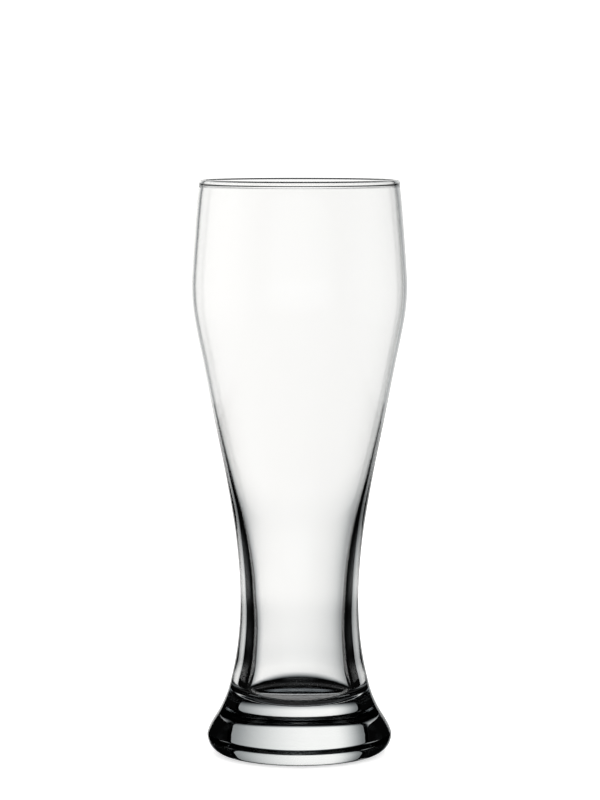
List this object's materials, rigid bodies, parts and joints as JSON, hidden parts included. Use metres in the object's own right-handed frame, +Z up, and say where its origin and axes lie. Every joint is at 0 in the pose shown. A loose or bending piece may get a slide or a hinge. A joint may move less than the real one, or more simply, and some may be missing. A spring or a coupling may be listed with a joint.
{
  "type": "weizen glass",
  "caption": "Tall clear wheat beer glass: thick solid foot, narrow waist and a bowl widest near the top that closes slightly to a rounded rim.",
  "frame": {"origin": "middle of the foot, on the surface that the glass stands on", "axes": "+Z up along the axis of the glass; the glass is round, so +X and +Y are free, and -Y faces the picture's viewer"},
  "size_m": [0.0832, 0.0832, 0.222],
  "materials": {
    "clear_glass": "clear soda-lime glass, fire-polished and smooth, with a faint cool tint in the thick foot"
  },
  "bodies": {
    "root": {"glass": "clear_glass"}
  },
  "joints": []
}
